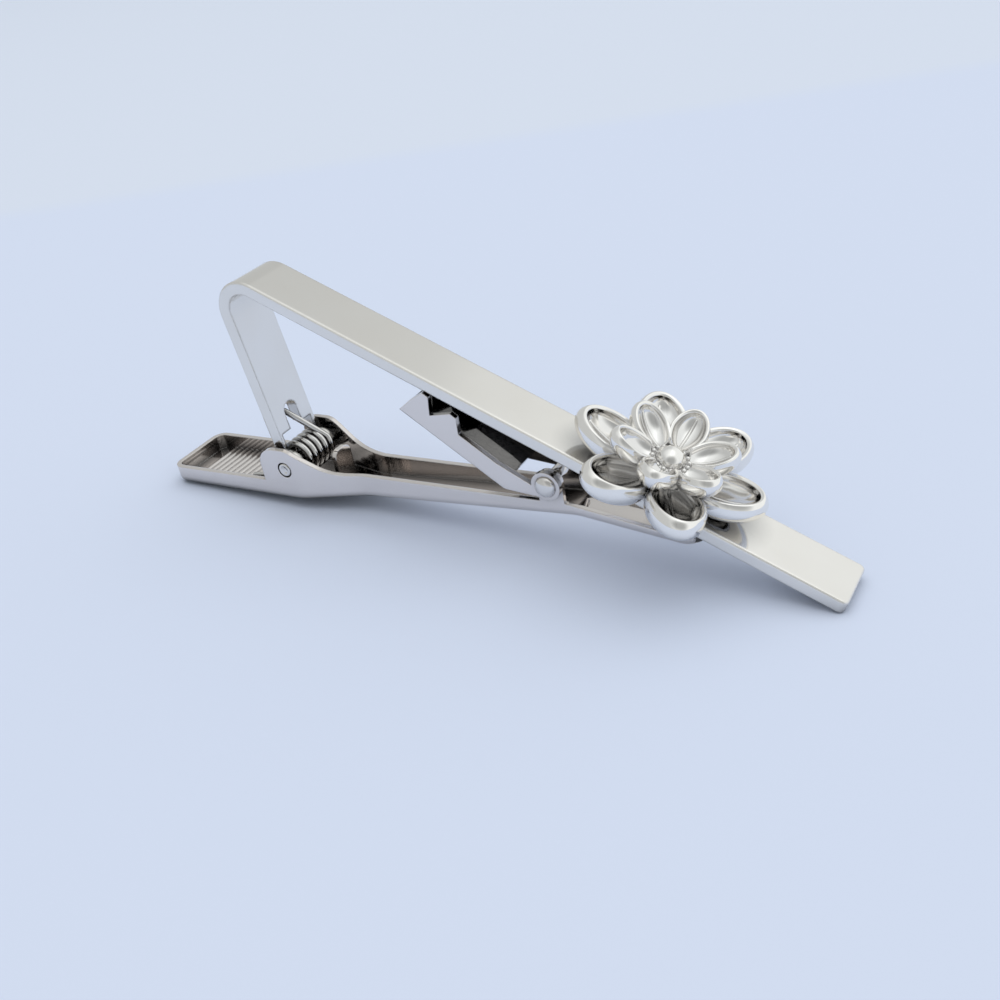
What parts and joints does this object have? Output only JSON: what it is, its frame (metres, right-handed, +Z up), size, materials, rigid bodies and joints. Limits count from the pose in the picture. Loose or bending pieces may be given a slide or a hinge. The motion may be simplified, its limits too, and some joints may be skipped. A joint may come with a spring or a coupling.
{
  "type": "tie clip",
  "caption": "Polished metal tie clip: a bent front bar with a petal rosette, a sprung thumb lever behind it and a swivelling toothed jaw that grips the tie.",
  "frame": {"origin": "middle of the underside of the clip's box as it lies on a table, resting on the bar's tip and the heel of the thumb tab", "axes": "+X from the thumb tab to the tip of the bar, +Y across the clip to its far side, +Z up from the table"},
  "size_m": [0.0642, 0.0146, 0.0212],
  "materials": {
    "bar_plate": "polished nickel plate",
    "lever_plate": "polished nickel plate",
    "pin_steel": "polished plated steel",
    "spring_wire": "bright drawn wire",
    "rosette_plate": "polished silver plate"
  },
  "bodies": {
    "bar": {"front_bar": "bar_plate", "rosette_outer": "rosette_plate", "rosette_inner": "rosette_plate", "rosette_stud": "rosette_plate"},
    "lever": {"lever": "lever_plate", "pivot_pin": "pin_steel", "jaw_rivet": "pin_steel", "spring": "spring_wire"},
    "jaw": {"jaw": "lever_plate"}
  },
  "joints": [
    {"name": "lever_hinge", "type": "hinge", "parent": "bar", "child": "lever", "pos_m": [-0.01757, 0, 0.00392], "axis": [0, 1, 0], "range_deg": [0, 30], "stiffness_Nm_per_rad": 0.06, "springref_deg": -40.11, "deforming": ["spring"]},
    {"name": "jaw_swivel", "type": "hinge", "parent": "lever", "child": "jaw", "pos_m": [0.00857, 0, 0.00655], "axis": [0, -1, 0], "range_deg": [0, 14]}
  ]
}
